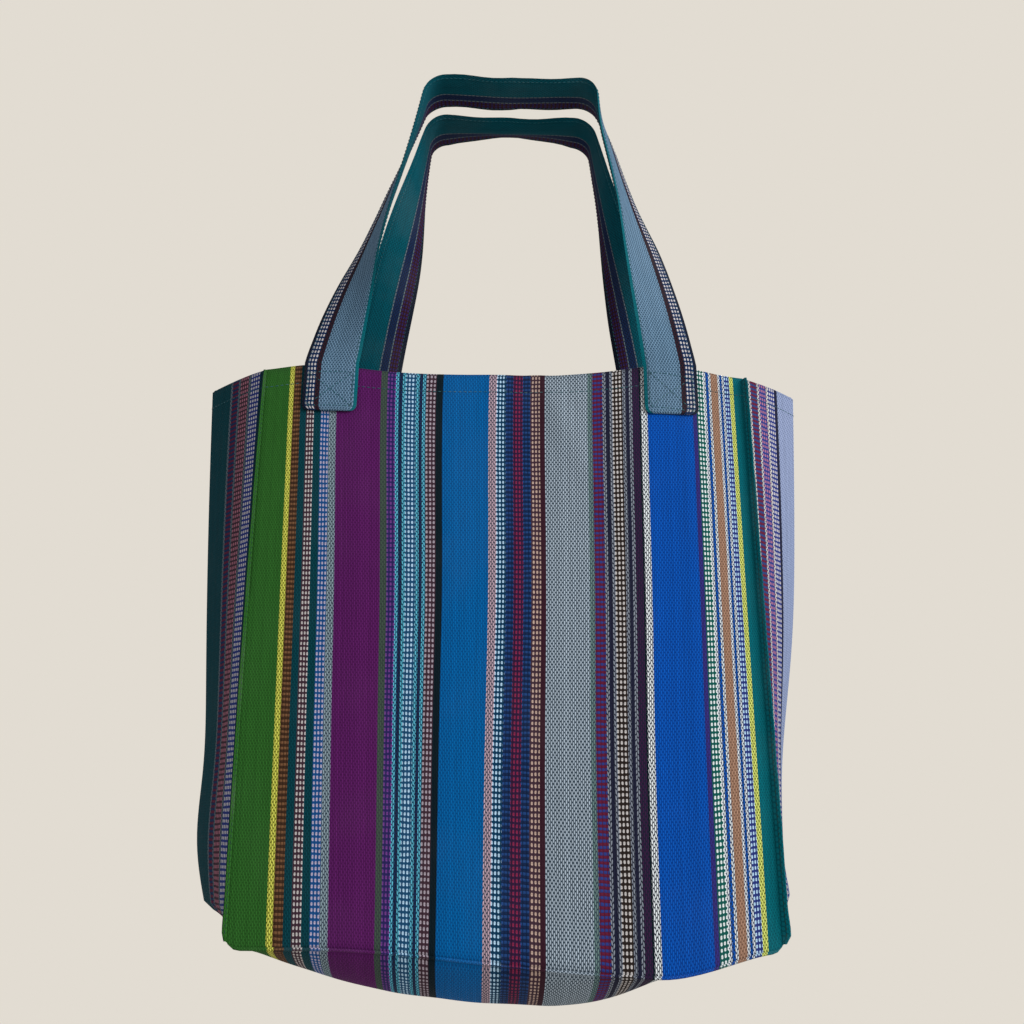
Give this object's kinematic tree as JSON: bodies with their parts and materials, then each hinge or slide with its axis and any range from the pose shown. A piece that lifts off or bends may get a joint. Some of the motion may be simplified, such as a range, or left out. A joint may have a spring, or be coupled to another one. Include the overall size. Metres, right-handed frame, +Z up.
{
  "type": "tote bag",
  "caption": "Soft striped cotton tote with gusseted sides, a sagging base, stitched corner ridges, an open mouth and fabric strap handles, hanging by its handles.",
  "frame": {"origin": "midway between the two handles, level with the undersides of their tops, where the pegs bear; above the middle of the mouth", "axes": "+Z up, -Y towards the viewer out of the front panel, +X to the viewer's right along the bag's width"},
  "size_m": [0.361, 0.1065, 0.5624],
  "materials": {
    "panel_cloth": "warp-striped handwoven cotton, matt",
    "gusset_cloth": "warp-striped handwoven cotton, matt",
    "tuck_cloth": "edge-stitched cotton, matt",
    "hem_cloth": "folded cotton hem, matt",
    "strap_cloth": "folded and edge-stitched cotton, matt",
    "stitch_thread": "cotton sewing thread"
  },
  "bodies": {
    "front_body": {"front_panel": "panel_cloth", "front_hem": "hem_cloth", "front_base_tuck": "tuck_cloth", "front_left_gusset": "gusset_cloth", "front_left_gusset_hem": "hem_cloth", "front_left_corner_tuck": "tuck_cloth", "front_left_handle_end": "strap_cloth", "front_left_box_stitch": "stitch_thread", "front_right_gusset": "gusset_cloth", "front_right_gusset_hem": "hem_cloth", "front_right_corner_tuck": "tuck_cloth", "front_right_handle_end": "strap_cloth", "front_right_box_stitch": "stitch_thread", "base_panel": "panel_cloth", "back_base_tuck": "tuck_cloth", "left_side_seam": "hem_cloth", "right_side_seam": "hem_cloth"},
    "back_body": {"back_panel": "panel_cloth", "back_hem": "hem_cloth", "back_left_gusset": "gusset_cloth", "back_left_gusset_hem": "hem_cloth", "back_left_corner_tuck": "tuck_cloth", "back_left_handle_end": "strap_cloth", "back_left_box_stitch": "stitch_thread", "back_right_gusset": "gusset_cloth", "back_right_gusset_hem": "hem_cloth", "back_right_corner_tuck": "tuck_cloth", "back_right_handle_end": "strap_cloth", "back_right_box_stitch": "stitch_thread"},
    "front_handle": {"front_handle_loop": "strap_cloth"},
    "back_handle": {"back_handle_loop": "strap_cloth"}
  },
  "joints": [
    {"name": "mouth_open", "type": "hinge", "parent": "front_body", "child": "back_body", "pos_m": [0, 0.065, -0.532], "axis": [-1, 0, 0], "range_deg": [0, 6.5]},
    {"name": "front_handle_swing", "type": "hinge", "parent": "front_body", "child": "front_handle", "pos_m": [0, -0.0329, -0.216], "axis": [1, 0, 0], "range_deg": [0, 175]},
    {"name": "back_handle_swing", "type": "hinge", "parent": "back_body", "child": "back_handle", "pos_m": [0, 0.0329, -0.216], "axis": [-1, 0, 0], "range_deg": [0, 160]}
  ]
}
